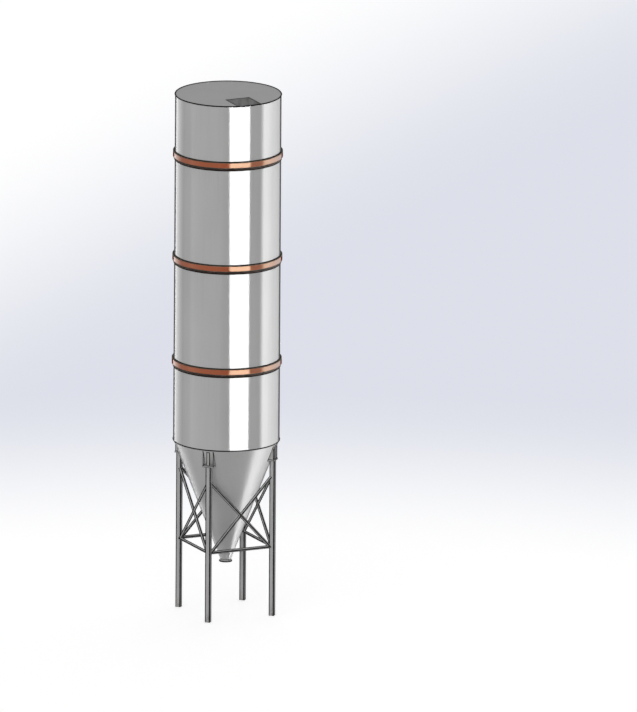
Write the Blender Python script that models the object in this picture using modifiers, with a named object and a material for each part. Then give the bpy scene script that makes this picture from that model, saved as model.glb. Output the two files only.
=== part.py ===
"""Storage silo on four braced legs.

A welded steel silo, 3 m across and 15 m high: a round shell with a flat roof and an open roof
hatch, three stiffening hoops, a conical hopper with a flanged outlet, and four square legs with
seat brackets, ties and crossed diagonals.

Metres, +Z up. The origin is on the ground at the centre of the four legs. The legs stand on the
corners of a square whose sides are parallel to X and Y, and the roof hatch lies towards -Y, the
front. Pieces that meet keep a gap of 0.3 mm.
"""

import math

import bmesh
import bpy
from mathutils import Matrix, Vector

OBJECT_NAME = "storage_silo"

# Driving dimensions of the vessel
SHELL_RADIUS = 1.500
SHELL_BOTTOM = 5.000
TOTAL_HEIGHT = 15.000
PLATE = 0.006
SEGMENTS = 96

# Stiffening hoops, each covering the seam between two shell courses
HOOP_SPACING = 3.000
LOWEST_HOOP_TOP = 7.380
HOOP_COUNT = 3
HOOP_DEPTH = 0.050
HOOP_FACE = 0.170
HOOP_HEIGHT = 0.240

# Roof hatch, a plain rectangular opening towards the front
HATCH_WIDTH = 0.680
HATCH_LENGTH = 0.800
HATCH_OUTER_EDGE = 1.420

# Hopper and outlet
CONE_BOTTOM = 1.530
OUTLET_RADIUS = 0.156
FLANGE_RADIUS = 0.185
FLANGE_THICKNESS = 0.030
OUTLET_BOTTOM = 1.450

# Legs, square tubes with a side towards the silo's axis
LEG_HEIGHT = 4.500
LEG_SIZE = 0.150
LEG_WALL = 0.008
LEG_CIRCLE_RADIUS = 1.400

# Seat brackets on the legs
SEAT_WIDTH = 0.330
SEAT_THICKNESS = 0.040
SEAT_OUTER_RADIUS = 1.490
RIB_OUTER_RADIUS = 1.475
RIB_THICKNESS = 0.016
RIB_OFFSET = 0.152
RIB_FLAT_WIDTH = 0.090
RIB_FLAT_THICKNESS = 0.012

# Ties and diagonals, square tubes set edge outwards
BAR_SIZE = 0.075
BAR_WALL = 0.005
TIE_LEVEL = 2.000
DIAGONAL_LOW = 2.030
DIAGONAL_HIGH = 3.970

# The diagonals' lowest tips are trimmed off level, this far above the middle of the tie
TIP_TRIM = 0.003

# Clearance between pieces that meet
GAP = 0.0003

# Worked out from the dimensions above
HALF_SPAN = LEG_CIRCLE_RADIUS * math.sqrt(0.5)
LEG_EDGE = HALF_SPAN - LEG_SIZE * math.sqrt(0.5)
CONE_SLOPE = (SHELL_RADIUS - OUTLET_RADIUS) / (SHELL_BOTTOM - CONE_BOTTOM)
HOOP_TOPS = [LOWEST_HOOP_TOP + i * HOOP_SPACING for i in range(HOOP_COUNT)]

SIDES = ("front", "right", "back", "left")
CORNERS = ("front_right", "back_right", "back_left", "front_left")


def clear_scene():
    for obj in list(bpy.data.objects):
        bpy.data.objects.remove(obj, do_unlink=True)


def new_collection(name):
    collection = bpy.data.collections.new(name)
    bpy.context.scene.collection.children.link(collection)
    return collection


def new_material(name, colour, roughness, metallic):
    material = bpy.data.materials.new(name)
    material.use_nodes = True
    shader = material.node_tree.nodes["Principled BSDF"]
    shader.inputs["Base Color"].default_value = (*colour, 1.0)
    shader.inputs["Roughness"].default_value = roughness
    shader.inputs["Metallic"].default_value = metallic
    material.diffuse_color = (*colour, 1.0)
    return material


def new_object(name, mesh, collection, material=None, parent=None):
    obj = bpy.data.objects.new(name, mesh)
    collection.objects.link(obj)
    obj.parent = parent
    if material is not None:
        mesh.materials.append(material)
    return obj


def new_empty(name, collection, turn):
    """An empty on the silo's axis, turned about Z, that carries one side or one corner."""
    empty = bpy.data.objects.new(name, None)
    empty.rotation_euler = (0.0, 0.0, turn)
    collection.objects.link(empty)
    return empty


def box_mesh(name, size, open_faces=()):
    """A box centred on the origin, without the faces whose outward directions are given."""
    mesh = bpy.data.meshes.new(name)
    bm = bmesh.new()
    bmesh.ops.create_cube(bm, size=1.0, matrix=Matrix.Diagonal((*size, 1.0)))
    gone = [f for f in bm.faces for d in open_faces if f.normal.dot(Vector(d)) > 0.9]
    bmesh.ops.delete(bm, geom=gone, context="FACES_ONLY")
    bm.to_mesh(mesh)
    bm.free()
    return mesh


def add_box(name, low, high, collection, material=None, parent=None):
    """A box between two corners, in its parent's frame."""
    low, high = Vector(low), Vector(high)
    obj = new_object(name, box_mesh(name, high - low), collection, material, parent)
    obj.location = (low + high) / 2
    return obj


def as_cutter(obj):
    obj.hide_render = True
    obj.display_type = "WIRE"
    return obj


def cut(obj, cutter):
    modifier = obj.modifiers.new("cut_" + cutter.name, "BOOLEAN")
    modifier.operation = "DIFFERENCE"
    modifier.solver = "EXACT"
    modifier.object = cutter


def join(obj, other):
    modifier = obj.modifiers.new("join_" + other.name, "BOOLEAN")
    modifier.operation = "UNION"
    modifier.solver = "EXACT"
    modifier.object = other


def weld(obj):
    """Merges the points that cuts leave on top of each other."""
    modifier = obj.modifiers.new("weld", "WELD")
    modifier.merge_threshold = 0.0001


def thicken(obj, thickness):
    """Walls of an open surface, grown inwards."""
    modifier = obj.modifiers.new("wall", "SOLIDIFY")
    modifier.thickness = thickness
    modifier.offset = -1.0
    modifier.use_even_offset = True


def turned(name, profile, collection, material):
    """A ring turned about Z from a closed profile of (radius, height) points.

    The profile runs down the outer side first.
    """
    mesh = bpy.data.meshes.new(name + "_profile")
    bm = bmesh.new()
    points = [bm.verts.new((radius, 0.0, height)) for radius, height in profile]
    for i, point in enumerate(points):
        bm.edges.new((point, points[(i + 1) % len(points)]))
    bm.to_mesh(mesh)
    bm.free()

    obj = new_object(name, mesh, collection)
    screw = obj.modifiers.new("turn", "SCREW")
    screw.steps = SEGMENTS
    screw.render_steps = SEGMENTS
    screw.use_merge_vertices = True
    screw.merge_threshold = 0.0001
    depsgraph = bpy.context.evaluated_depsgraph_get()
    obj.data = bpy.data.meshes.new_from_object(obj.evaluated_get(depsgraph))
    obj.data.name = name
    obj.modifiers.clear()
    bpy.data.meshes.remove(mesh)
    obj.data.shade_smooth()
    obj.data.set_sharp_from_angle(angle=math.radians(20))
    obj.data.materials.append(material)
    return obj


def make_shell(collection, material):
    """Four courses of rolled plate, whose seams lie behind the hoops."""
    seams = [top - HOOP_HEIGHT / 2 for top in HOOP_TOPS]
    bottoms = [SHELL_BOTTOM] + seams
    tops = [z - GAP for z in seams] + [TOTAL_HEIGHT - PLATE - GAP]
    for i, (bottom, top) in enumerate(zip(bottoms, tops), start=1):
        outer, inner = SHELL_RADIUS, SHELL_RADIUS - PLATE
        profile = [(outer, top), (outer, bottom), (inner, bottom), (inner, top)]
        turned(f"shell_course_{i}", profile, collection, material)


def make_hoops(collection, material):
    """Folded steel hoops, open at the back, with a level top and a sloped underside."""
    back = SHELL_RADIUS + GAP
    face = SHELL_RADIUS + HOOP_DEPTH
    run = face - back
    drop = HOOP_HEIGHT - HOOP_FACE
    slant_wall = PLATE * math.hypot(run, drop) / run
    for name, top in zip(("hoop_lower", "hoop_middle", "hoop_upper"), HOOP_TOPS):
        edge = top - HOOP_FACE
        bottom = top - HOOP_HEIGHT
        profile = [
            (back, top), (face, top), (face, edge), (back, bottom), (back, bottom + slant_wall),
            (face - PLATE, edge - PLATE * drop / run + slant_wall),
            (face - PLATE, top - PLATE), (back, top - PLATE),
        ]
        turned(name, profile, collection, material)


def make_roof(collection, cutters, material):
    """A flat round plate on the shell's rim, with the hatch cut through it."""
    bpy.ops.mesh.primitive_cylinder_add(
        vertices=SEGMENTS, radius=SHELL_RADIUS, depth=PLATE,
        location=(0.0, 0.0, TOTAL_HEIGHT - PLATE / 2))
    roof = bpy.context.object
    roof.name = "roof_plate"
    roof.data.name = "roof_plate"
    roof.data.materials.append(material)
    for other in roof.users_collection:
        other.objects.unlink(roof)
    collection.objects.link(roof)

    hatch = as_cutter(add_box(
        "hatch_cutter",
        (-HATCH_WIDTH / 2, -HATCH_OUTER_EDGE, TOTAL_HEIGHT - 0.1),
        (HATCH_WIDTH / 2, HATCH_LENGTH - HATCH_OUTER_EDGE, TOTAL_HEIGHT + 0.1), cutters))
    cut(roof, hatch)


def make_hopper(collection, material, flange_material):
    """The cone under the shell, and the short flanged spout that it empties through."""
    level_wall = PLATE * math.hypot(1.0, CONE_SLOPE)
    top = SHELL_BOTTOM - GAP
    top_radius = SHELL_RADIUS - CONE_SLOPE * GAP
    turned("hopper_cone", [
        (top_radius, top), (OUTLET_RADIUS, CONE_BOTTOM),
        (OUTLET_RADIUS - level_wall, CONE_BOTTOM), (top_radius - level_wall, top),
    ], collection, material)

    bore = OUTLET_RADIUS - PLATE
    flange_top = OUTLET_BOTTOM + FLANGE_THICKNESS
    turned("outlet_flange", [
        (OUTLET_RADIUS, CONE_BOTTOM - GAP), (OUTLET_RADIUS, flange_top),
        (FLANGE_RADIUS, flange_top), (FLANGE_RADIUS, OUTLET_BOTTOM),
        (bore, OUTLET_BOTTOM), (bore, CONE_BOTTOM - GAP),
    ], collection, flange_material)


def make_cone_cutter(cutters):
    """The cone's outer surface as a solid, one gap larger, for the brackets' inner edges."""
    margin = GAP * math.hypot(1.0, CONE_SLOPE) * 1.2
    low, high = CONE_BOTTOM, SHELL_BOTTOM + 0.1
    bpy.ops.mesh.primitive_cone_add(
        vertices=SEGMENTS, radius1=OUTLET_RADIUS + margin,
        radius2=OUTLET_RADIUS + margin + CONE_SLOPE * (high - low),
        depth=high - low, location=(0.0, 0.0, (low + high) / 2))
    cutter = as_cutter(bpy.context.object)
    cutter.name = "cone_cutter"
    for other in cutter.users_collection:
        other.objects.unlink(cutter)
    cutters.objects.link(cutter)
    return cutter


def make_leg(corner, place, collection, cutters, material):
    """A square tube closed at its foot, and the solid that cuts the bars' ends to fit it."""
    height = LEG_HEIGHT - GAP
    mesh = box_mesh("leg", (LEG_SIZE, LEG_SIZE, height), open_faces=[(0, 0, 1)])
    leg = new_object("leg_" + corner, mesh, collection, material, place)
    leg.location = (LEG_CIRCLE_RADIUS, 0.0, height / 2)
    thicken(leg, LEG_WALL)

    half = LEG_SIZE / 2 + GAP
    return as_cutter(add_box(
        "leg_cutter_" + corner,
        (LEG_CIRCLE_RADIUS - half, -half, -0.1), (LEG_CIRCLE_RADIUS + half, half, LEG_HEIGHT),
        cutters, parent=place))


def make_bracket(corner, place, collection, cutters, cone_cutter, material):
    """The seat plate on a leg and the three ribs that carry the cone on it.

    The middle rib ends in a flat across its outer edge.
    """
    inner = LEG_CIRCLE_RADIUS - LEG_SIZE
    seat_top = LEG_HEIGHT + SEAT_THICKNESS
    rib_bottom = seat_top + GAP
    name = "bracket_" + corner
    seat = add_box(
        name + "_seat", (inner, -SEAT_WIDTH / 2, LEG_HEIGHT),
        (SEAT_OUTER_RADIUS, SEAT_WIDTH / 2, seat_top), collection, material, place)
    ribs = [
        add_box(
            f"{name}_rib_{number}", (inner, offset - RIB_THICKNESS / 2, rib_bottom),
            (RIB_OUTER_RADIUS, offset + RIB_THICKNESS / 2, SHELL_BOTTOM),
            collection, material, place)
        for number, offset in ((1, -RIB_OFFSET), (2, 0.0), (3, RIB_OFFSET))
    ]
    flat = as_cutter(add_box(
        name + "_flat", (RIB_OUTER_RADIUS - RIB_FLAT_THICKNESS, -RIB_FLAT_WIDTH / 2, rib_bottom),
        (RIB_OUTER_RADIUS, RIB_FLAT_WIDTH / 2, SHELL_BOTTOM), cutters, parent=place))
    join(ribs[1], flat)
    for piece in (seat, *ribs):
        cut(piece, cone_cutter)


def bar_between(name, start, end, collection, material, place):
    """A square tube along a line in a side's plane, with an edge outwards, open at both ends."""
    start, end = Vector(start), Vector(end)
    length = (end - start).length
    mesh = box_mesh(name, (BAR_SIZE, BAR_SIZE, length), open_faces=[(0, 0, 1), (0, 0, -1)])
    bar = new_object(name, mesh, collection, material, place)
    lay_along(bar, start, end)
    thicken(bar, BAR_WALL)
    return bar


def lay_along(obj, start, end):
    """Turns an object's Z along a line in a side's plane, with its X and Y at 45 degrees to it."""
    along = (end - start).normalized()
    outwards = Vector((0.0, -1.0, 0.0))
    across = outwards.cross(along)
    frame = Matrix((across, along.cross(across), along)).transposed()
    turn = frame.to_4x4() @ Matrix.Rotation(math.radians(45), 4, "Z")
    obj.matrix_local = Matrix.Translation((start + end) / 2) @ turn


def bar_cutter(name, start, end, cutters, place):
    """A bar's outer form as a solid, one gap larger."""
    start, end = Vector(start), Vector(end)
    size = BAR_SIZE + 2 * GAP
    mesh = box_mesh(name, (size, size, (end - start).length))
    cutter = as_cutter(new_object(name, mesh, cutters, parent=place))
    lay_along(cutter, start, end)
    return cutter


def make_side(side, place, leg_cutters, collection, cutters, material):
    """One side's tie and crossed diagonals: one diagonal runs through, the other is in halves."""
    plane = -HALF_SPAN
    reach = HALF_SPAN
    slope = (DIAGONAL_HIGH - DIAGONAL_LOW) / (2 * LEG_EDGE)
    middle = (DIAGONAL_HIGH + DIAGONAL_LOW) / 2
    rise = slope * reach

    tie_ends = ((-reach, plane, TIE_LEVEL), (reach, plane, TIE_LEVEL))
    down_ends = ((-reach, plane, middle + rise), (reach, plane, middle - rise))
    centre = (0.0, plane, middle)
    up_low = (-reach, plane, middle - rise)
    up_high = (reach, plane, middle + rise)

    tie = bar_between("tie_" + side, *tie_ends, collection, material, place)
    through = bar_between(f"brace_{side}_through", *down_ends, collection, material, place)
    lower = bar_between(f"brace_{side}_lower", up_low, centre, collection, material, place)
    upper = bar_between(f"brace_{side}_upper", centre, up_high, collection, material, place)

    tie_cutter = bar_cutter("tie_cutter_" + side, *tie_ends, cutters, place)
    through_cutter = bar_cutter("through_cutter_" + side, *down_ends, cutters, place)
    below_tie = as_cutter(add_box(
        "below_tie_cutter_" + side, (-reach - BAR_SIZE, plane - BAR_SIZE, TIE_LEVEL - BAR_SIZE * 4),
        (reach + BAR_SIZE, plane + BAR_SIZE, TIE_LEVEL + TIP_TRIM), cutters, parent=place))

    for bar in (tie, through, lower, upper):
        for leg_cutter in leg_cutters:
            cut(bar, leg_cutter)
    for bar in (through, lower):
        cut(bar, below_tie)
        cut(bar, tie_cutter)
    for bar in (lower, upper):
        cut(bar, through_cutter)
    for bar in (tie, through, lower, upper):
        weld(bar)


def main():
    clear_scene()
    parts = new_collection(OBJECT_NAME)
    cutters = new_collection(OBJECT_NAME + "_cutters")

    shell_paint = new_material("shell_paint", (0.62, 0.62, 0.62), 0.18, 0.25)
    hoop_paint = new_material("hoop_paint", (0.53, 0.19, 0.08), 0.30, 0.30)
    frame_paint = new_material("frame_paint", (0.45, 0.45, 0.45), 0.35, 0.25)

    make_shell(parts, shell_paint)
    make_hoops(parts, hoop_paint)
    make_roof(parts, cutters, shell_paint)
    make_hopper(parts, shell_paint, frame_paint)
    cone_cutter = make_cone_cutter(cutters)

    leg_cutters = []
    for i, corner in enumerate(CORNERS):
        place = new_empty("corner_" + corner, parts, math.radians(90 * i - 45))
        leg_cutters.append(make_leg(corner, place, parts, cutters, frame_paint))
        make_bracket(corner, place, parts, cutters, cone_cutter, frame_paint)

    for i, side in enumerate(SIDES):
        place = new_empty("side_" + side, parts, math.radians(90 * i))
        neighbours = (leg_cutters[i - 1], leg_cutters[i])
        make_side(side, place, neighbours, parts, cutters, frame_paint)


main()
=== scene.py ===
"""Looks of the storage silo: fine surfaces, finishes, weld seams, studio light and camera.

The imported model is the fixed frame. Round pieces are turned again in finer steps, rolled and cut
steel pieces get their rounded edges, weld beads run along every joint, and each surface gets a
finish made of nodes. Metres, +Z up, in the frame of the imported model.
"""

from __future__ import annotations

import logging
import math
from collections.abc import Callable, Iterable, Sequence
from dataclasses import dataclass
from enum import Enum
from functools import cached_property
from typing import Any

import bmesh
import bpy
from bmesh.types import BMEdge, BMesh, BMFace, BMLayerItem, BMVert
from bpy.types import Material, Mesh, Node, NodeSocket, Object
from mathutils import Matrix, Vector


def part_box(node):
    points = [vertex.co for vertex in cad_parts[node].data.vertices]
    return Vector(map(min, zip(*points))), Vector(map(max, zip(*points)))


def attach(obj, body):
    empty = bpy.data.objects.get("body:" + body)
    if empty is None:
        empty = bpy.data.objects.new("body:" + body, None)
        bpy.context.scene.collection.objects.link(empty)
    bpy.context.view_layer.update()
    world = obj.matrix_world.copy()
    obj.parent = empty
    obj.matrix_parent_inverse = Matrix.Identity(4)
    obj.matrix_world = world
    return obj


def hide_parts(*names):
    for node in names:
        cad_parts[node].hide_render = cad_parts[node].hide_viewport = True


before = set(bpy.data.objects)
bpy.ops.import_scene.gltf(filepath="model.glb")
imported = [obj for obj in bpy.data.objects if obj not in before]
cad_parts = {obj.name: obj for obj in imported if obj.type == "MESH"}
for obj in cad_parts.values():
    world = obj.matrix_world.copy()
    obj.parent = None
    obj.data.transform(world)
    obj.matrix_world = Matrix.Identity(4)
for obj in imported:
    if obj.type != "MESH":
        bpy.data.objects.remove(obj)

LOG = logging.getLogger("storage_silo")

Colour = tuple[float, float, float]
Point2 = tuple[float, float]

BODY = "root"
DIRT_COLOUR = (0.20, 0.17, 0.14)

# Names of the layers of wear, and how far wear reaches in from an edge
ACROSS = "across"
WORN_FROM = "worn_from"
WEAR_REACH = 0.032

# The CAD model's gap between pieces that meet, how near a point is to count as there, and how
# near two corners of its triangles are to be one
CLEARANCE = 0.0003
NEAR = 0.001
MERGE_DISTANCE = 0.00002

# Within what angle faces are one flat, from what angle shading breaks, and from what angle an
# edge is a cut one that gets rounded
FLAT_ANGLE = math.radians(0.3)
SHARP_ANGLE = math.radians(28.0)
CUT_ANGLE = math.radians(40.0)

# How many flat steps make a full circle
ROUND_STEPS = 256

# An edge runs along a tube when it is this long and this parallel to it, a face is aslant to
# the tube when this share of its normal lies along it, and a bracket's face lies on the cone
# when this share of its normal points inwards
LONG_EDGE = 0.1
PARALLEL = 0.9999
ASLANT = 0.02
ON_CONE = 0.7


def operator(operation: str, reflected: bool = False) -> Callable[[Signal, Value], Signal]:
    """Makes the method of an operator that adds a Math node.

    Args:
        operation: The node's operation.
        reflected: Whether the other value comes first.

    Returns:
        The method.
    """
    def method(self: Signal, other: Value) -> Signal:
        """The result for this value and another."""
        values = (other, self) if reflected else (self, other)
        return self.tree.maths(operation, *values)
    return method


class Signal:
    """One output socket of a node tree, usable in Python arithmetic."""

    def __init__(self, tree: Tree, socket: NodeSocket) -> None:
        """Wraps a socket.

        Args:
            tree: The tree that the socket's node is in.
            socket: The output socket.
        """
        self.tree = tree
        self.socket = socket

    __add__ = __radd__ = operator("ADD")
    __sub__ = operator("SUBTRACT")
    __rsub__ = operator("SUBTRACT", reflected=True)
    __mul__ = __rmul__ = operator("MULTIPLY")
    __truediv__ = operator("DIVIDE")
    __mod__ = operator("FLOORED_MODULO")

    def __abs__(self) -> Signal:
        """This value without its sign."""
        return self.tree.maths("ABSOLUTE", self)


Value = float | int | bool | tuple | Signal | NodeSocket | bpy.types.ID
Sockets = dict[str | int, Value]


def placed(name: str, data: bpy.types.ID) -> Object:
    """Puts a new object in the scene.

    Args:
        name: The object's name.
        data: What it shows, such as a mesh.

    Returns:
        The object.
    """
    made = bpy.data.objects.new(name, data)
    bpy.context.scene.collection.objects.link(made)
    return made


def mesh_of(name: str, bm: BMesh) -> Mesh:
    """Makes a mesh of what a BMesh holds.

    Args:
        name: The mesh's name.
        bm: The BMesh, which is freed.

    Returns:
        The mesh.
    """
    mesh = bpy.data.meshes.new(name)
    bm.to_mesh(mesh)
    bm.free()
    return mesh


def baked(carrier: Object, all_layers: bool = False) -> Mesh:
    """Bakes an object's modifiers, and removes the object.

    Args:
        carrier: The object.
        all_layers: Whether every layer of the mesh is kept.

    Returns:
        The plain mesh.
    """
    depsgraph = bpy.context.evaluated_depsgraph_get()
    made = bpy.data.meshes.new_from_object(
        carrier.evaluated_get(depsgraph), preserve_all_data_layers=all_layers, depsgraph=depsgraph)
    source = carrier.data
    bpy.data.objects.remove(carrier)
    bpy.data.meshes.remove(source)
    return made


class Tree:
    """A node tree that expressions and calls fill with nodes."""

    def __init__(self, nodes: bpy.types.NodeTree) -> None:
        """Takes over a tree and empties it.

        Args:
            nodes: The Blender node tree.
        """
        self.nodes = nodes
        nodes.nodes.clear()

    def node(self, kind: str, settings: dict[str, Any] | None = None,
             inputs: Sockets | None = None) -> Node:
        """Adds a node.

        Args:
            kind: The node's type, such as ShaderNodeMath.
            settings: Properties set first. The name stops fills a ColorRamp.
            inputs: Values or links of sockets, by index, identifier or name.

        Returns:
            The new node.
        """
        node = self.nodes.nodes.new(kind)
        for name, value in (settings or {}).items():
            if name == "stops":
                self._set_stops(node.color_ramp, value)
            else:
                setattr(node, name, value)
        for key, value in (inputs or {}).items():
            self.feed(self._socket(node, key), value)
        return node

    def get(self, kind: str, settings: dict[str, Any] | None = None,
            inputs: Sockets | None = None, output: str | int = 0) -> Signal:
        """Adds a node and returns one of its outputs.

        Args:
            kind: The node's type.
            settings: Properties set first.
            inputs: Values or links of sockets.
            output: The output's index or name.

        Returns:
            The output as a signal.
        """
        return Signal(self, self.node(kind, settings, inputs).outputs[output])

    def feed(self, socket: NodeSocket, value: Value) -> None:
        """Links a signal or a socket to an input, or sets the input's own value.

        Args:
            socket: The input.
            value: What it gets.
        """
        if isinstance(value, Signal):
            self.nodes.links.new(value.socket, socket)
        elif isinstance(value, NodeSocket):
            self.nodes.links.new(value, socket)
        elif socket.type == "RGBA" and len(value) == 3:
            socket.default_value = (*value, 1.0)
        else:
            socket.default_value = value

    def maths(self, operation: str, *values: Value) -> Signal:
        """Adds a Math node.

        Args:
            operation: The node's operation.
            values: Its inputs in order.

        Returns:
            The result.
        """
        return self.get("ShaderNodeMath", {"operation": operation}, dict(enumerate(values)))

    @staticmethod
    def _socket(node: Node, key: str | int) -> NodeSocket:
        """Finds an input of a node.

        Args:
            node: The node.
            key: The input's index, identifier or name.

        Returns:
            The input.
        """
        if isinstance(key, int):
            return node.inputs[key]
        by_identifier = [s for s in node.inputs if s.identifier == key]
        return by_identifier[0] if by_identifier else node.inputs[key]

    @staticmethod
    def _set_stops(ramp: bpy.types.ColorRamp, stops: Sequence[tuple[float, Colour]]) -> None:
        """Gives a ramp its stops.

        Args:
            ramp: The ramp.
            stops: Places and colours, from low to high.
        """
        while len(ramp.elements) > 1:
            ramp.elements.remove(ramp.elements[-1])
        ramp.elements[0].position = stops[0][0]
        ramp.elements[0].color = (*stops[0][1], 1.0)
        for position, colour in stops[1:]:
            ramp.elements.new(position).color = (*colour, 1.0)


class Shading(Tree):
    """The tree of a material or of the world."""

    @cached_property
    def place(self) -> Signal:
        """The point's own coordinates in metres."""
        return self.get("ShaderNodeTexCoord", output="Object")

    def parts(self, vector: Signal) -> tuple[Signal, Signal, Signal]:
        """The three numbers of a vector."""
        node = self.node("ShaderNodeSeparateXYZ", inputs={0: vector})
        return tuple(Signal(self, socket) for socket in node.outputs)

    def noise(self, stretch: float | tuple[float, float, float], detail: float = 2.0,
              roughness: float = 0.5) -> Signal:
        """Cloudy noise from about 0.25 to 0.75, with a middle of 0.5.

        Args:
            stretch: How many clouds there are to a metre, on all axes or along each.
            detail: How many finer octaves it has.
            roughness: How strong these are.

        Returns:
            The noise.
        """
        scale = stretch if isinstance(stretch, tuple) else (stretch,) * 3
        scaled = self.get("ShaderNodeMapping", inputs={"Vector": self.place, "Scale": scale})
        inputs = {"Vector": scaled, "Scale": 1.0, "Detail": detail, "Roughness": roughness}
        return self.get("ShaderNodeTexNoise", inputs=inputs)

    def between(self, value: Signal, low: float, high: float) -> Signal:
        """A soft step.

        Args:
            value: What it depends on.
            low: Where it is 0.
            high: Where it is 1, which may be the smaller.

        Returns:
            The step.
        """
        settings = {"interpolation_type": "SMOOTHSTEP"}
        if low <= high:
            return self.get("ShaderNodeMapRange", settings,
                            {"Value": value, "From Min": low, "From Max": high})
        return 1.0 - self.between(value, high, low)

    def mix(self, factor: Value, first: Value, second: Value) -> Signal:
        """A colour between two colours.

        Args:
            factor: 0 for the first colour and 1 for the second.
            first: A colour.
            second: Another colour.

        Returns:
            The mixed colour.
        """
        inputs = {"Factor_Float": factor, "A_Color": first, "B_Color": second}
        return self.get("ShaderNodeMix", {"data_type": "RGBA"}, inputs, output=2)

    def measure(self, operation: str, first: Value, second: Value) -> Signal:
        """The number that a Vector Math node makes of two vectors, such as a distance."""
        return self.get("ShaderNodeVectorMath", {"operation": operation}, {0: first, 1: second},
                        output="Value")

    def bump(self, height: Signal, depth: float, under: Signal | None = None) -> Signal:
        """A normal from a height.

        Args:
            height: The height, where 1 stands for the depth.
            depth: The depth in metres.
            under: The normal that it is laid on.

        Returns:
            The normal.
        """
        inputs: Sockets = {"Height": height, "Strength": 1.0, "Distance": depth}
        if under is not None:
            inputs["Normal"] = under
        return self.get("ShaderNodeBump", inputs=inputs)

    def end(self, kind: str, inputs: Sockets, output: str = "ShaderNodeOutputMaterial") -> None:
        """Ends the tree in one shader.

        Args:
            kind: The shader's node type.
            inputs: Values or links of its sockets.
            output: The output's node type.
        """
        shader = self.node(kind, inputs=inputs)
        self.node(output, inputs={"Surface": shader.outputs[0]})


def new_material(name: str) -> tuple[Material, Shading]:
    """Makes a material.

    Args:
        name: The material's name.

    Returns:
        The material and its empty tree.
    """
    made = bpy.data.materials.new(name)
    made.use_nodes = True
    return made, Shading(made.node_tree)


class Recipe(Tree):
    """A Geometry Nodes tree with named inputs, used as a modifier and then baked."""

    def __init__(self, name: str, inputs: dict[str, tuple[str, Any]]) -> None:
        """Makes the tree and its interface.

        Args:
            name: The tree's name.
            inputs: Socket types and default values by the inputs' names.
        """
        super().__init__(bpy.data.node_groups.new(name, "GeometryNodeTree"))
        add = self.nodes.interface.new_socket
        add("Geometry", in_out="INPUT", socket_type="NodeSocketGeometry")
        self.keys: dict[str, str] = {}
        for label, (kind, default) in inputs.items():
            socket = add(label, in_out="INPUT", socket_type=kind)
            if default is not None:
                socket.default_value = default
            self.keys[label] = socket.identifier
        add("Geometry", in_out="OUTPUT", socket_type="NodeSocketGeometry")
        self.start = self.node("NodeGroupInput")

    def given(self, label: str) -> Signal:
        """One of the tree's own inputs."""
        return Signal(self, self.start.outputs[label])

    def end(self, geometry: Signal) -> None:
        """Ends the tree in Realize Instances and Set Material.

        Args:
            geometry: The finished geometry.
        """
        smooth = self.get("GeometryNodeSetShadeSmooth", inputs={"Geometry": geometry})
        real = self.get("GeometryNodeRealizeInstances", inputs={"Geometry": smooth})
        inputs = {"Geometry": real, "Material": self.given("Material")}
        dressed = self.get("GeometryNodeSetMaterial", inputs=inputs)
        self.node("NodeGroupOutput", inputs={0: dressed})

    def bake(self, name: str, mesh: Mesh, values: dict[str, Any]) -> Mesh:
        """Runs the tree on a mesh.

        Args:
            name: The result's name.
            mesh: The mesh that goes in, which is removed.
            values: Values of the tree's inputs by their names.

        Returns:
            The plain mesh that comes out.
        """
        carrier = placed(name, mesh)
        modifier = carrier.modifiers.new(self.nodes.name, "NODES")
        modifier.node_group = self.nodes
        for label, value in values.items():
            modifier[self.keys[label]] = value
        return baked(carrier)


@dataclass(frozen=True)
class Coat:
    """A finish, of which each kind fills the sockets of the shader.

    Attributes:
        name: The material's name.
    """

    name: str

    def material(self) -> Material:
        """Makes the material once.

        Returns:
            The material with its node tree.
        """
        made = bpy.data.materials.get(self.name)
        if made is None:
            made, tree = new_material(self.name)
            tree.end("ShaderNodeBsdfPrincipled", self.sockets(tree))
        return made

    def sockets(self, tree: Shading) -> Sockets:
        """What the shader's sockets get, by their names."""
        raise NotImplementedError


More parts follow.
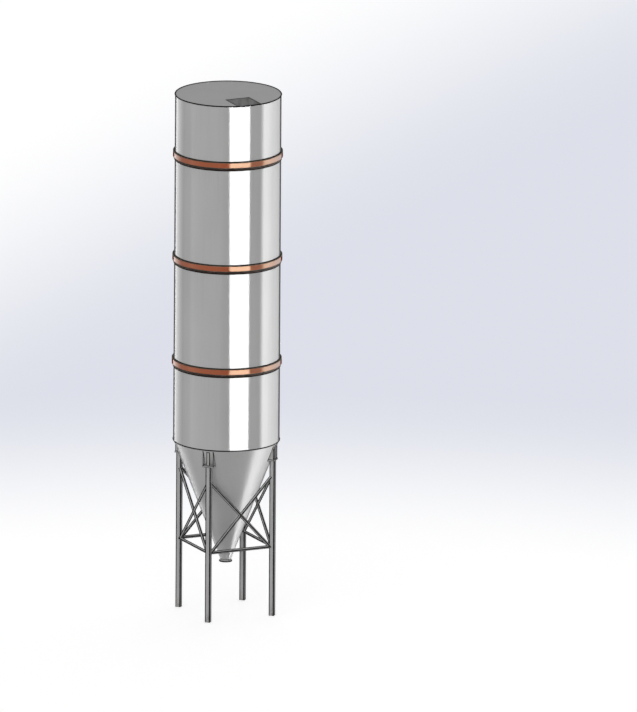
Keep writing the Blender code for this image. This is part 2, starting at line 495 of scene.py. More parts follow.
@dataclass(frozen=True)
class Paint(Coat):
    """Glossy paint sprayed on steel plate, a little uneven and dusty.

    Attributes:
        colour: The paint's colour.
        flake: The share of metal flake in it.
        gloss_roughness: Roughness of the clean paint.
        mottle: How much its tone varies, as a share.
        runs: How much the traces of rain darken it, as a share.
        hoop_runs: How much dirt washes down from the hoops, as a share.
        splash_height: How far up from the ground dirt is splashed.
        grimy_hatch: Whether grime has gathered round the roof hatch.
        waviness: Depth of the plate's slow waves.
        shine: The paint's specular level, where 0.5 is plain gloss paint.
        shine_tint: The colour that reflections in it take on.
        bare_colour: What shows where the paint is worn off the edges.
    """

    colour: Colour
    flake: float = 0.08
    gloss_roughness: float = 0.09
    mottle: float = 0.03
    runs: float = 0.05
    hoop_runs: float = 0.0
    splash_height: float = 0.0
    grimy_hatch: bool = False
    waviness: float = 0.0004
    shine: float = 0.5
    shine_tint: Colour = (1.0, 1.0, 1.0)
    bare_colour: Colour = (0.020, 0.019, 0.018)

    def sockets(self, tree: Shading) -> Sockets:
        """Lays dirt and wear over an uneven tone.

        Args:
            tree: The material's tree.

        Returns:
            What the shader's sockets get, by their names.
        """
        dirt, chips = self._dirt(tree), self._chips(tree)
        broad = tree.noise((0.9, 0.9, 0.5), detail=3.0)
        fine = tree.noise(38.0, detail=3.0)
        light = tuple(min(1.0, c * (1.0 + self.mottle)) for c in self.colour)
        dark = tuple(c * (1.0 - self.mottle) for c in self.colour)
        tone = tree.between(broad * 0.8 + fine * 0.2, 0.3, 0.7)
        dirty = tree.mix(dirt, tree.mix(tone, dark, light), DIRT_COLOUR)
        return {
            "Base Color": tree.mix(chips, dirty, self.bare_colour), "Metallic": self.flake,
            "Roughness": self.gloss_roughness + fine * 0.04 + dirt * 0.35 + chips * 0.6,
            "Specular IOR Level": self.shine, "Specular Tint": self.shine_tint,
            "Normal": self._surface(tree, chips),
        }

    def _dirt(self, tree: Shading) -> Signal:
        """Traces of rain, runs below the hoops, splashes from the ground and grime at the hatch.

        Args:
            tree: The material's tree.

        Returns:
            The dirt, from 0 to 1.
        """
        height = tree.parts(tree.place)[2]
        streaks = tree.noise((11.0, 11.0, 0.25), detail=4.0, roughness=0.6)
        dirt = tree.between(streaks, 0.48, 0.74) * self.runs
        if self.hoop_runs:
            below = (Hoops.lowest_underside() - height) % Hoops.spacing()
            fading = tree.between(below, 0.9, 0.0)
            narrow = tree.noise((26.0, 26.0, 0.6), detail=3.0, roughness=0.65)
            dirt = dirt + tree.between(narrow, 0.42, 0.7) * fading * self.hoop_runs
        if self.splash_height:
            low = tree.between(height, self.splash_height, 0.0)
            spots = tree.noise((22.0, 22.0, 16.0), detail=5.0, roughness=0.7)
            dirt = dirt + tree.between(spots, 0.36, 0.66) * low * 0.7
        if self.grimy_hatch:
            dirt = dirt + tree.between(self._past_hatch(tree), 0.06, 0.03) * 0.6
        return tree.maths("MINIMUM", dirt, 0.9)

    @staticmethod
    def _past_hatch(tree: Shading) -> Signal:
        """How far a point of the roof is from the hatch, with an uneven limit.

        Args:
            tree: The material's tree.

        Returns:
            The distance.
        """
        along, across, _ = tree.parts(tree.place)
        low, high = Vessel.hatch_low, Vessel.hatch_high
        past_side = abs(along - (low[0] + high[0]) / 2) - (high[0] - low[0]) / 2
        past_end = abs(across - (low[1] + high[1]) / 2) - (high[1] - low[1]) / 2
        blots = tree.noise(30.0, detail=4.0, roughness=0.6)
        return tree.maths("MAXIMUM", past_side, past_end) + (blots - 0.5) * 0.02

    def _chips(self, tree: Shading) -> Signal:
        """Where the paint is worn off the edges.

        Args:
            tree: The material's tree.

        Returns:
            The wear, from 0 to 1.
        """
        across, start = (tree.get("ShaderNodeAttribute", {"attribute_name": name}, output="Fac")
                         for name in (ACROSS, WORN_FROM))
        edge = tree.between(abs(across) - start, 0.0, WEAR_REACH)
        spots = tree.noise(42.0, detail=6.0, roughness=0.68)
        broad = tree.noise(5.0, detail=3.0)
        worn = tree.between(spots * 0.6 + edge * (0.3 + broad * 0.8), 0.50, 0.78)
        if self.grimy_hatch:
            for border in (tree.between(self._past_hatch(tree), 0.036, 0.028),
                           self._round_rim(tree, spots)):
                worn = tree.maths("MAXIMUM", worn, border)
        return worn

    @staticmethod
    def _round_rim(tree: Shading, spots: Signal) -> Signal:
        """A dark border along the roof's rim, with an uneven limit.

        Args:
            tree: The material's tree.
            spots: What makes the limit uneven.

        Returns:
            The border, from 0 to 1.
        """
        flat = tree.get("ShaderNodeVectorMath", {"operation": "MULTIPLY"},
                        {0: tree.place, 1: (1.0, 1.0, 0.0)})
        out = tree.measure("LENGTH", flat, (0.0, 0.0, 0.0))
        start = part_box("roof_plate")[1].x - WEAR_REACH
        return tree.between(out + (spots - 0.5) * 0.03, start, start + 0.008)

    def _surface(self, tree: Shading, chips: Signal) -> Signal:
        """Slow waves of the plate under the orange peel of the paint.

        Args:
            tree: The material's tree.
            chips: Where the paint is worn off, which lies deeper.

        Returns:
            The normal.
        """
        wavy = tree.bump(tree.noise((1.7, 1.7, 0.9), detail=1.0), self.waviness)
        peel = tree.noise(210.0, detail=1.0)
        return tree.bump(peel - chips * 2.0, 0.00006, wavy)


@dataclass(frozen=True)
class Dusted(Coat):
    """A dull surface with clouds of something on it, such as dust on steel or rust on a weld.

    Attributes:
        own: The surface's own colour.
        cover: The colour of what lies on it.
        clouds: How many clouds there are to a metre, on all axes or along each.
        grains: How many grains there are to a metre.
        octaves: How many finer octaves the clouds have.
        grain_share: How much the grains break up the clouds, as a share.
        limits: Between what levels of the noise the cover grows.
        density: How dense it gets.
        roughness: Roughness of the bare surface, and how much the cover adds.
        metal: How metallic the bare surface is, and how much the cover adds.
        shine: The specular level, where 0.5 is plain.
        relief: Depth of the grains.
        cloud_relief: How high the clouds stand, as a share of that.
    """

    own: Colour
    cover: Colour
    clouds: float | tuple[float, float, float]
    grains: float
    octaves: float = 4.0
    grain_share: float = 0.0
    limits: Point2 = (0.45, 0.68)
    density: float = 1.0
    roughness: Point2 = (0.45, 0.35)
    metal: Point2 = (0.0, 0.0)
    shine: float = 0.5
    relief: float = 0.0003
    cloud_relief: float = 0.0

    def sockets(self, tree: Shading) -> Sockets:
        """Lays the cover on the surface.

        Args:
            tree: The material's tree.

        Returns:
            What the shader's sockets get, by their names.
        """
        clouds = tree.noise(self.clouds, detail=self.octaves, roughness=0.6)
        grains = tree.noise(self.grains)
        mixed = clouds * (1.0 - self.grain_share) + grains * self.grain_share
        cover = tree.between(mixed, *self.limits) * self.density
        bare, added = self.metal
        return {
            "Base Color": tree.mix(cover, self.own, self.cover),
            "Roughness": self.roughness[0] + cover * self.roughness[1],
            "Metallic": bare + cover * added if added else bare,
            "Specular IOR Level": self.shine,
            "Normal": tree.bump(grains + clouds * self.cloud_relief, self.relief),
        }


class Side(Enum):
    """The four sides of the leg frame."""

    FRONT = "front"
    RIGHT = "right"
    BACK = "back"
    LEFT = "left"


class Corner(Enum):
    """The four corners of the leg frame, each with one leg."""

    FRONT_RIGHT = "front_right"
    BACK_RIGHT = "back_right"
    BACK_LEFT = "back_left"
    FRONT_LEFT = "front_left"


class Slot(Enum):
    """The record's material slots."""

    SHELL = "shell_paint"
    HOOP = "hoop_paint"
    FRAME = "frame_paint"


class Finish(Enum):
    """Every finish on the silo."""

    SHELL = Paint("shell_gloss_grey", (0.59, 0.59, 0.59), gloss_roughness=0.07, hoop_runs=0.08)
    ROOF = Paint("roof_gloss_grey", (0.55, 0.55, 0.55), runs=0.0, gloss_roughness=0.16,
                 grimy_hatch=True)
    HOPPER = Paint("hopper_gloss_grey", (0.56, 0.56, 0.56), gloss_roughness=0.26)
    HOOP = Paint("hoop_orange_brown", (0.44, 0.062, 0.012), flake=0.0, mottle=0.05, shine=0.88,
                 shine_tint=(1.0, 0.79, 0.55), bare_colour=(0.030, 0.016, 0.012))
    # Painted shade: a dark brown copy of the hoop's paint, for the hoops' faces that point down.
    HOOP_SHADED_UNDERSIDE = Paint("hoop_underside_painted_shade", (0.060, 0.030, 0.018), flake=0.0, mottle=0.15,
                       gloss_roughness=0.45, shine=0.3)
    FRAME = Paint("frame_grey", (0.62, 0.62, 0.62), splash_height=0.35, gloss_roughness=0.50,
                  mottle=0.05, flake=0.0, shine=0.0)
    INSIDE = Dusted("inside_dusty_steel", (0.30, 0.30, 0.30), (0.46, 0.46, 0.455), (5.0, 5.0, 1.2),
                    160.0, octaves=5.0, grain_share=0.15, limits=(0.38, 0.6),
                    roughness=(0.5, 0.35), metal=(0.5, -0.5), cloud_relief=1.0)
    SEALANT = Dusted("joint_black_sealant", (0.010, 0.010, 0.010), (0.030, 0.029, 0.027), 9.0,
                     300.0, grain_share=0.2, shine=0.03)
    WELD = Dusted("weld_dark_metal", (0.030, 0.028, 0.027), (0.13, 0.055, 0.025), 30.0, 400.0,
                  limits=(0.5, 0.72), density=0.8, roughness=(0.42, 0.3), metal=(0.6, -0.55),
                  relief=0.0002)

    def material(self) -> Material:
        """The finish's material."""
        return self.value.material()


def turned_recipe() -> Recipe:
    """The tree that turns a section about the vertical axis.

    The section lies in the XY plane: X is the distance out from the ring's radius, and Y is the
    depth below the ring's level.

    Returns:
        The tree.
    """
    recipe = Recipe("turned_ring", {
        "Ring Radius": ("NodeSocketFloat", 1.0),
        "Steps": ("NodeSocketInt", ROUND_STEPS),
        "Material": ("NodeSocketMaterial", None),
    })
    inputs = {"Resolution": recipe.given("Steps"), "Radius": recipe.given("Ring Radius")}
    ring = recipe.get("GeometryNodeCurvePrimitiveCircle", {"mode": "RADIUS"}, inputs)
    section = recipe.get("GeometryNodeMeshToCurve", inputs={"Mesh": recipe.given("Geometry")})
    swept = recipe.get("GeometryNodeCurveToMesh", inputs={
        "Curve": ring, "Profile Curve": section, "Fill Caps": False,
    })
    recipe.end(swept)
    return recipe


def bead_recipe() -> Recipe:
    """The tree that lays a rippled weld bead along every edge of a mesh.

    Returns:
        The tree.
    """
    recipe = Recipe("weld_bead", {
        "Bead Radius": ("NodeSocketFloat", 0.005),
        "Ripple Pitch": ("NodeSocketFloat", 0.010),
        "Ripple Depth": ("NodeSocketFloat", 0.22),
        "Unevenness": ("NodeSocketFloat", 0.08),
        "Sides": ("NodeSocketInt", 6),
        "Seed": ("NodeSocketInt", 7),
        "Material": ("NodeSocketMaterial", None),
    })
    path = recipe.get("GeometryNodeMeshToCurve", inputs={"Mesh": recipe.given("Geometry")})
    stops = recipe.get("GeometryNodeResampleCurve", {"mode": "LENGTH"}, {
        "Curve": path, "Length": recipe.given("Ripple Pitch") / 2,
    })
    parity = recipe.get("GeometryNodeInputIndex") % 2
    spread = recipe.given("Unevenness")
    uneven = recipe.get("FunctionNodeRandomValue", {"data_type": "FLOAT"}, {
        "Min_001": 1.0 - spread, "Max_001": 1.0 + spread, "Seed": recipe.given("Seed"),
    }, output=1)
    inputs = {"Resolution": recipe.given("Sides"), "Radius": recipe.given("Bead Radius")}
    section = recipe.get("GeometryNodeCurvePrimitiveCircle", {"mode": "RADIUS"}, inputs)
    bead = recipe.get("GeometryNodeCurveToMesh", inputs={
        "Curve": stops, "Profile Curve": section, "Fill Caps": True,
        "Scale": uneven * (1.0 - parity * recipe.given("Ripple Depth")),
    })
    recipe.end(bead)
    return recipe


def rounded(corners: Sequence[tuple[float, float, float]], steps: int = 4) -> list[Point2]:
    """A closed outline with round corners.

    Args:
        corners: X, Y and the radius of each corner.
        steps: How many straight pieces make each arc.

    Returns:
        The outline's points.
    """
    outline: list[Point2] = []
    for i, (x, y, radius) in enumerate(corners):
        if radius <= 0.0:
            outline.append((x, y))
            continue
        here = Vector((x, y))
        back = (Vector(corners[i - 1][:2]) - here).normalized()
        on = (Vector(corners[(i + 1) % len(corners)][:2]) - here).normalized()
        half = back.angle(on) / 2
        run = radius / math.tan(half)
        centre = here + (back + on).normalized() * (radius / math.sin(half))
        first, last = here + back * run - centre, here + on * run - centre
        for step in range(steps + 1):
            outline.append(tuple(centre + first.slerp(last, step / steps) * radius))
    return outline


def outline_mesh(name: str, points: Iterable[Sequence[float]], closed: bool = True) -> Mesh:
    """A mesh of edges along points.

    Args:
        name: The mesh's name.
        points: The points, in two or three numbers each.
        closed: Whether the last point joins the first.

    Returns:
        The mesh.
    """
    places = [Vector((*p, 0.0)) if len(p) == 2 else Vector(p) for p in points]
    edges = [(i, i + 1) for i in range(len(places) - 1)]
    if closed:
        edges.append((len(places) - 1, 0))
    mesh = bpy.data.meshes.new(name)
    mesh.from_pydata(places, edges, [])
    return mesh


def circle(radius: float, level: float) -> list[tuple[float, float, float]]:
    """Points of a level circle about the silo's axis.

    Args:
        radius: The circle's radius.
        level: Its height.

    Returns:
        The points.
    """
    turn = math.tau / ROUND_STEPS
    return [(radius * math.cos(turn * i), radius * math.sin(turn * i), level)
            for i in range(ROUND_STEPS)]


def mark_points(mesh: Mesh, is_worn: Callable[[Vector], bool]) -> None:
    """Marks the worn points of a turned mesh.

    Args:
        mesh: The mesh.
        is_worn: Says of a place whether its paint is worn off.
    """
    wear = mesh.attributes.new(ACROSS, "FLOAT", "POINT")
    for point, vert in zip(wear.data, mesh.vertices):
        point.value = WEAR_REACH if is_worn(vert.co) else 0.0


def firm_normals(mesh: Mesh) -> Mesh:
    """Turns the shading towards the large faces, so that flats stay flat beside their bends.

    Args:
        mesh: The mesh, which is removed.

    Returns:
        The mesh with its own normals.
    """
    carrier = placed(mesh.name, mesh)
    carrier.modifiers.new("firm", "WEIGHTED_NORMAL").keep_sharp = True
    return baked(carrier, all_layers=True)


def show(name: str, mesh: Mesh, slot: Slot | None = None,
         replaces: Sequence[str] = (), mirrored: bool = True) -> None:
    """Makes a finished piece of a mesh and hands it to the frame.

    Args:
        name: The piece's name.
        mesh: Its mesh, in the frame's coordinates.
        slot: The record's slot that its finish belongs to, which is not used.
        replaces: The CAD nodes that it stands for.
        mirrored: Whether the glossy plates beside it mirror it.
    """
    mesh.shade_smooth()
    mesh.set_sharp_from_angle(angle=SHARP_ANGLE)
    if replaces:
        mesh = firm_normals(mesh)
    mesh.name = name
    piece = placed(name, mesh)
    piece.visible_glossy = mirrored
    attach(piece, BODY)
    if replaces:
        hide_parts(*replaces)
    LOG.info("%s: %d faces", name, len(mesh.polygons))


@dataclass
class Vessel:
    """The shell courses, the roof, the hopper cone and the outlet.

    Attributes:
        recipe: The tree that turns the round pieces.
        plate: Thickness of the plate.
        edge: Radius of the plates' broken edges.
        courses: How many courses the shell has.
        hatch_low: The hatch's corner towards the left and front.
        hatch_high: The hatch's corner towards the right and back.
        hatch_depth: How deep the block is that cuts the hatch.
        roof_edge: Radius of the roof's broken edges.
        flange: Thickness of the outlet's flange.
        fillet: Radius where the spout meets the flange.
        flange_edge: Radius of the flange's outer edges.
        bore_edge: Radius of the bore's lower edge.
    """

    recipe: Recipe
    plate: float = 0.006
    edge: float = 0.0008
    courses: int = 4
    hatch_low: Point2 = (-0.34, -1.42)
    hatch_high: Point2 = (0.34, -0.62)
    hatch_depth: float = 0.2
    roof_edge: float = 0.0012
    flange: float = 0.030
    fillet: float = 0.003
    flange_edge: float = 0.002
    bore_edge: float = 0.001

    def build(self) -> None:
        """Builds and dresses every piece of the vessel."""
        for number in range(1, self.courses + 1):
            self._course(f"shell_course_{number}")
        self._roof()
        self._cone()
        self._outlet()

    def _turned(self, name: str, section: Sequence[Point2], finish: Finish) -> Mesh:
        """Turns a section about the axis.

        Args:
            name: The mesh's name.
            section: Its points as (radius, height), down the outer side first.
            finish: Its finish.

        Returns:
            The mesh.
        """
        mesh = outline_mesh(name, [(radius, -height) for radius, height in section])
        inner = min(radius for radius, _ in section)
        mesh.transform(Matrix.Translation((-inner, 0.0, 0.0)))
        return self.recipe.bake(name, mesh, {"Ring Radius": inner, "Material": finish.material()})

    @staticmethod
    def _line(mesh: Mesh, is_inside: Callable[[Vector], bool]) -> None:
        """Gives the faces of the inner wall the inside's own finish.

        Args:
            mesh: The mesh.
            is_inside: Says of a face's middle whether it is on the inner wall.
        """
        mesh.materials.append(Finish.INSIDE.material())
        for face in mesh.polygons:
            face.material_index = int(is_inside(face.center))

    def _course(self, node: str) -> None:
        """Builds one course of rolled plate.

        Args:
            node: The CAD node that it stands for.
        """
        low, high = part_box(node)
        outer, inner = high.x, high.x - self.plate
        section = rounded([
            (outer, high.z, self.edge), (outer, high.z - WEAR_REACH, 0.0),
            (outer, low.z + WEAR_REACH, 0.0), (outer, low.z, self.edge),
            (inner, low.z, self.edge), (inner, high.z, self.edge),
        ], steps=2)
        mesh = self._turned(node, section, Finish.SHELL)
        mark_points(mesh, lambda at: abs(at.z - (low.z + high.z) / 2)
                    > (high.z - low.z) / 2 - 2 * self.edge)
        middle = (outer + inner) / 2
        self._line(mesh, lambda at: math.hypot(at.x, at.y) < middle)
        show(node + "_plate", mesh, Slot.SHELL, [node])

    def _roof(self) -> None:
        """Builds the flat roof with its open hatch."""
        low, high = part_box("roof_plate")
        disc, block = bmesh.new(), bmesh.new()
        bmesh.ops.create_cone(
            disc, cap_ends=True, segments=ROUND_STEPS, radius1=high.x, radius2=high.x,
            depth=high.z - low.z, matrix=Matrix.Translation((0.0, 0.0, (low.z + high.z) / 2)))
        corner = Vector((*self.hatch_low, high.z - self.hatch_depth / 2))
        size = Vector((*self.hatch_high, high.z + self.hatch_depth / 2)) - corner
        bmesh.ops.create_cube(block, matrix=Matrix.LocRotScale(corner + size / 2, None, size))
        roof, cutter = placed("roof", mesh_of("roof", disc)), placed("hatch", mesh_of("hatch", block))
        roof.modifiers.new("cut", "BOOLEAN").object = cutter
        soften = roof.modifiers.new("soften", "BEVEL")
        soften.width = self.roof_edge
        soften.segments = 2
        soften.limit_method = "ANGLE"
        soften.angle_limit = CUT_ANGLE
        mesh = baked(roof)
        bpy.data.objects.remove(cutter)
        mesh.materials.append(Finish.ROOF.material())
        self._line(mesh, lambda at: at.z < low.z + self.plate / 8)
        show("roof_sheet", mesh, Slot.SHELL, ["roof_plate"])

    def _cone(self) -> None:
        """Builds the hopper cone."""
        low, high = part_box("hopper_cone")
        outlet = self.outlet_radius()
        level_wall = self.plate * math.hypot(1.0, (high.x - outlet) / (high.z - low.z))
        section = [
            (high.x, high.z), (outlet, low.z), (outlet - level_wall, low.z),
            (high.x - level_wall, high.z),
        ]
        mesh = self._turned("hopper_cone", section, Finish.HOPPER)
        slope = (high.x - outlet) / (high.z - low.z)
        self._line(mesh, lambda at: math.hypot(at.x, at.y)
                   < outlet + slope * (at.z - low.z) - level_wall / 2)
        show("hopper_skin", mesh, Slot.SHELL, ["hopper_cone"])

    @staticmethod
    def outlet_radius() -> float:
        """Reads the spout's outer radius from the cone's lowest points.

        Returns:
            The radius.
        """
        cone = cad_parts["hopper_cone"].data
        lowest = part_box("hopper_cone")[0].z + MERGE_DISTANCE
        return max(v.co.xy.length for v in cone.vertices if v.co.z < lowest)

    def _outlet(self) -> None:
        """Builds the short spout with its thin flange."""
        low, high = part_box("outlet_flange")
        spout, rim = self.outlet_radius(), high.x
        bore, step = spout - self.plate, low.z + self.flange
        section = rounded([
            (spout, high.z, 0.0), (spout, step, self.fillet), (rim, step, self.flange_edge),
            (rim, low.z, self.flange_edge), (bore, low.z, self.bore_edge), (bore, high.z, 0.0),
        ])
        mesh = self._turned("outlet_flange", section, Finish.FRAME)
        self._line(mesh, lambda at: math.hypot(at.x, at.y) < bore + self.plate / 4)
        mark_points(mesh, lambda at: at.xy.length > rim - self.flange_edge - NEAR)
        show("outlet_spout", mesh, Slot.FRAME, ["outlet_flange"])


@dataclass
class Hoops:
    """The stiffening hoops, folded from plate, level on top and sloped below.

    Attributes:
        recipe: The tree that turns the hoops.
        plate: Thickness of the plate.
        face: Height of the upright face.
        bend: Outer radius of the folds.
        burr: Radius of the plate's broken edges.
        downwards: How far down a face's normal must point for the face to get painted shade, a dark
            brown copy of the hoop's paint.
        worn: How far wear reaches past the folds.
        nodes: The CAD nodes, from low to high.
    """

    recipe: Recipe
    plate: float = 0.006
    face: float = 0.170
    bend: float = 0.010
    burr: float = 0.001
    downwards: float = 0.3
    worn: float = 0.025
    nodes: tuple[str, ...] = ("hoop_lower", "hoop_middle", "hoop_upper")

    @staticmethod
    def lowest_underside() -> float:
        """The height of the lowest hoop's lower edge."""
        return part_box("hoop_lower")[0].z

    @staticmethod
    def spacing() -> float:
        """The rise from one hoop to the next."""
        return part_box("hoop_middle")[0].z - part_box("hoop_lower")[0].z

    def build(self) -> None:
        """Builds and dresses the hoops."""
        for node in self.nodes:
            mesh = self.recipe.bake(node, outline_mesh(node, self._section(node)), {
                "Ring Radius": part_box("shell_course_1")[1].x, "Material": Finish.HOOP.material(),
            })
            # Painted shade: the faces that point down take the dark brown copy of the hoop's paint.
            mesh.materials.append(Finish.HOOP_SHADED_UNDERSIDE.material())
            for face in mesh.polygons:
                face.material_index = int(face.normal.z < -self.downwards)
            low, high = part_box(node)
            fold = high.z - self.face + self.bend
            mark_points(mesh, lambda at: at.z > high.z - self.bend - NEAR / 2
                        or at.xy.length > high.x - self.bend and at.z < fold + NEAR / 2)
            show(node + "_fold", mesh, Slot.HOOP, [node])

    def _section(self, node: str) -> list[Point2]:
        """The folded section of a hoop.

        Args:
            node: The CAD node that it stands for.

        Returns:
            Its points, as the distance out from the shell and the depth below the ground's level.
        """
        low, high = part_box(node)
        out = high.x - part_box("shell_course_1")[1].x
        drop = high.z - low.z - self.face
        slant = self.plate * math.hypot(out, drop) / out
        inner = self.bend - self.plate
        fold = low.z + drop
        back_fold = fold - self.plate * drop / out + slant
        reach = self.bend + self.worn
        return rounded([
            (CLEARANCE, -high.z, self.burr), (out, -high.z, self.bend),
            (out, -high.z + reach, 0.0), (out, -fold - reach, 0.0), (out, -fold, self.bend),
            (CLEARANCE, -low.z, self.burr), (CLEARANCE, -low.z - slant, self.burr),
            (out - self.plate, -back_fold, inner), (out - self.plate, -high.z + self.plate, inner),
            (CLEARANCE, -high.z + self.plate, self.burr),
        ])


@dataclass
class LegFrame:
    """The legs, their seat brackets, and the ties and diagonals between them.

    Attributes:
        tube_bend: Outer corner radius of the legs.
        bar_bend: Outer corner radius of the ties and diagonals.
        inner_share: The inner corners' radius as a share of the outer one.
        burr: Radius of the broken edges of cut plate.
        framed_width: From what mean width a plate's face has a worn border.
        framed_share: How wide this border is at most, as a share of that width.
        bar_wear: How far wear reaches in from the bends of the ties and diagonals.
        ribs: How many ribs each bracket has.
        bars: The bars on one side, by their names before and after the side's.
    """

    tube_bend: float = 0.014
    bar_bend: float = 0.009
    inner_share: float = 0.4
    burr: float = 0.0018
    framed_width: float = 0.034
    framed_share: float = 0.36
    bar_wear: float = 0.029
    ribs: int = 3
    bars: tuple[str, ...] = ("tie_{}", "brace_{}_through", "brace_{}_lower", "brace_{}_upper")

    def build(self) -> None:
        """Builds and dresses every piece of the leg frame."""
        for corner in Corner:
            self._tube("leg_" + corner.value, self.tube_bend, WEAR_REACH)
            for node in self.bracket_nodes(corner):
                self._plate(node)
        for side in Side:
            for node in self.bar_nodes(side):
                self._tube(node, self.bar_bend, self.bar_wear)

    def bracket_nodes(self, corner: Corner) -> list[str]:
        """The seat and the ribs of one bracket."""
        stem = "bracket_" + corner.value
        return [stem + "_seat"] + [f"{stem}_rib_{n}" for n in range(1, self.ribs + 1)]

    def bar_nodes(self, side: Side) -> list[str]:
        """The tie and the diagonals of one side."""
        return [pattern.format(side.value) for pattern in self.bars]

    def _tube(self, node: str, bend: float, wear: float) -> None:
        """Builds a square tube with its long edges rounded.

        Args:
            node: The CAD node that it stands for.
            bend: Outer radius of its edges.
            wear: How far wear reaches in from them.
        """
        bm = clean_copy(node)
        across, worn_from = wear_layers(bm)
        axis, middle = tube_axis(bm)
        long_edges = [e for e in bm.edges if is_along(e, axis)]
        reach = {e: off_axis(edge_middle(e), axis, middle) for e in long_edges}
        limit = (max(reach.values()) + min(reach.values())) / 2
        outer = [e for e in long_edges if reach[e] > limit]
        inner = [e for e in long_edges if reach[e] <= limit]
        half = outer_width(bm, axis) / 2 - bend
        scale = WEAR_REACH / wear
        self._round(bm, inner, bend * self.inner_share)
        bends = self._round(bm, outer, bend)
        for face in bm.faces:
            if face in bends:
                mark_worn(face, across, worn_from)
            elif is_outer_wall(face, axis, middle):
                face[worn_from] = (half - wear) * scale
                sideways = face.normal.cross(axis).normalized()
                for loop in face.loops:
                    loop[across] = (loop.vert.co - middle).dot(sideways) * scale
        self._finish(node, bm)

    def _plate(self, node: str) -> None:
        """Builds a cut plate with its edges broken and worn.

        Args:
            node: The CAD node that it stands for.
        """
        bm = clean_copy(node)
        across, worn_from = wear_layers(bm)
        sharp = [e for e in bm.edges if e.calc_face_angle(0.0) > CUT_ANGLE]
        rounds = self._round(bm, sharp, self.burr)
        for face in list(bm.faces):
            width = face.calc_area() / longest_side(face)
            if face in rounds or width < self.framed_width:
                mark_worn(face, across, worn_from)
            else:
                self._frame_flat(bm, face, min(WEAR_REACH, self.framed_share * width), across)
        self._finish(node, bm)

    @staticmethod
    def _frame_flat(bm: BMesh, face: BMFace, reach: float, across: BMLayerItem) -> None:
        """Splits a worn border off a flat face.

        Args:
            bm: The mesh.
            face: The face.
            reach: The border's width.
            across: The layer for how far in wear is.
        """
        border = bmesh.ops.inset_individual(
            bm, faces=[face], thickness=reach, use_even_offset=True)["faces"]
        kept = set(face.verts)
        for strip in border:
            for loop in strip.loops:
                loop[across] = 0.0 if loop.vert in kept else WEAR_REACH

    @staticmethod
    def _round(bm: BMesh, edges: list[BMEdge], radius: float) -> set[BMFace]:
        """Rounds edges.

        Args:
            bm: The mesh.
            edges: The edges.
            radius: How far in from them the rounding starts.

        Returns:
            The new faces.
        """
        made = bmesh.ops.bevel(
            bm, geom=[e for e in edges if e.is_valid], offset=radius, offset_type="OFFSET",
            segments=4, profile=0.5, affect="EDGES", clamp_overlap=False)
        return set(made["faces"])

    @staticmethod
    def _finish(node: str, bm: BMesh) -> None:
        """Shows a finished piece in place of its CAD node.

        Args:
            node: The CAD node that it stands for.
            bm: The piece's mesh, which is freed.
        """
        mesh = mesh_of(node, bm)
        mesh.materials.append(Finish.FRAME.material())
        show(node + "_steel", mesh, Slot.FRAME, [node], mirrored=False)


def clean_copy(node: str) -> BMesh:
    """A copy of a CAD node's mesh with its points merged and its flat faces made whole.

    Args:
        node: The node's name.

    Returns:
        The copy, with empty layers for wear.
    """
    bm = bmesh.new()
    bm.from_mesh(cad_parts[node].data)
    bm.loops.layers.float.new(ACROSS)
    bm.faces.layers.float.new(WORN_FROM)
    bmesh.ops.remove_doubles(bm, verts=bm.verts, dist=MERGE_DISTANCE)
    bmesh.ops.dissolve_limit(
        bm, angle_limit=FLAT_ANGLE, verts=bm.verts, edges=bm.edges,
        use_dissolve_boundaries=False)
    return bm


def wear_layers(bm: BMesh) -> tuple[BMLayerItem, BMLayerItem]:
    """The layers for how far across its wall a corner is and how far across wear starts."""
    return bm.loops.layers.float[ACROSS], bm.faces.layers.float[WORN_FROM]


def edge_middle(edge: BMEdge) -> Vector:
    """The middle of an edge."""
    return (edge.verts[0].co + edge.verts[1].co) / 2


def tube_axis(bm: BMesh) -> tuple[Vector, Vector]:
    """The direction of a straight tube and a point on its axis.

    Args:
        bm: The tube.

    Returns:
        The direction and the point.
    """
    longest = max(bm.edges, key=lambda e: e.calc_length())
    axis = (longest.verts[1].co - longest.verts[0].co).normalized()
    along = [e for e in bm.edges if is_along(e, axis)]
    middle = sum((edge_middle(e) for e in along), Vector()) / len(along)
    return axis, middle


def is_along(edge: BMEdge, axis: Vector) -> bool:
    """Whether an edge runs along an axis for some length."""
    run = edge.verts[1].co - edge.verts[0].co
    return run.length > LONG_EDGE and abs(run.normalized().dot(axis)) > PARALLEL


def outer_width(bm: BMesh, axis: Vector) -> float:
    """The outer width of a square tube, which is that of its largest wall.

    Args:
        bm: The tube.
        axis: Its direction.

    Returns:
        The width.
    """
    wall = max(bm.faces, key=lambda f: f.calc_area())
    sideways = wall.normal.cross(axis).normalized()
    steps = [v.co.dot(sideways) for v in wall.verts]
    return max(steps) - min(steps)


def longest_side(face: BMFace) -> float:
    """The length of a face's longest edge."""
    return max(e.calc_length() for e in face.edges)


def mark_worn(face: BMFace, across: BMLayerItem, worn_from: BMLayerItem) -> None:
    """Marks a whole face as worn.

    Args:
        face: The face.
        across: The layer for how far across its wall a corner is.
        worn_from: The layer for how far across wear starts.
    """
    face[worn_from] = 0.0
    for loop in face.loops:
        loop[across] = WEAR_REACH


def off_axis(point: Vector, axis: Vector, middle: Vector) -> float:
    """The distance of a point from an axis."""
    arm = point - middle
    return (arm - axis * arm.dot(axis)).length


@dataclass(frozen=True)
class Bead:
    """A kind of bead.

    Attributes:
        finish: Its finish.
        radius: Its radius.
        pitch: The way from one ripple to the next.
        depth: The ripples' depth, as a share of the radius.
        unevenness: How much the radius varies, as a share.
        slot: The record's slot that its finish belongs to.
        mirrored: Whether the glossy plates beside it mirror it.
    """

    finish: Finish
    radius: float
    pitch: float = 0.012
    depth: float = 0.22
    unevenness: float = 0.08
    slot: Slot | None = None
    mirrored: bool = True


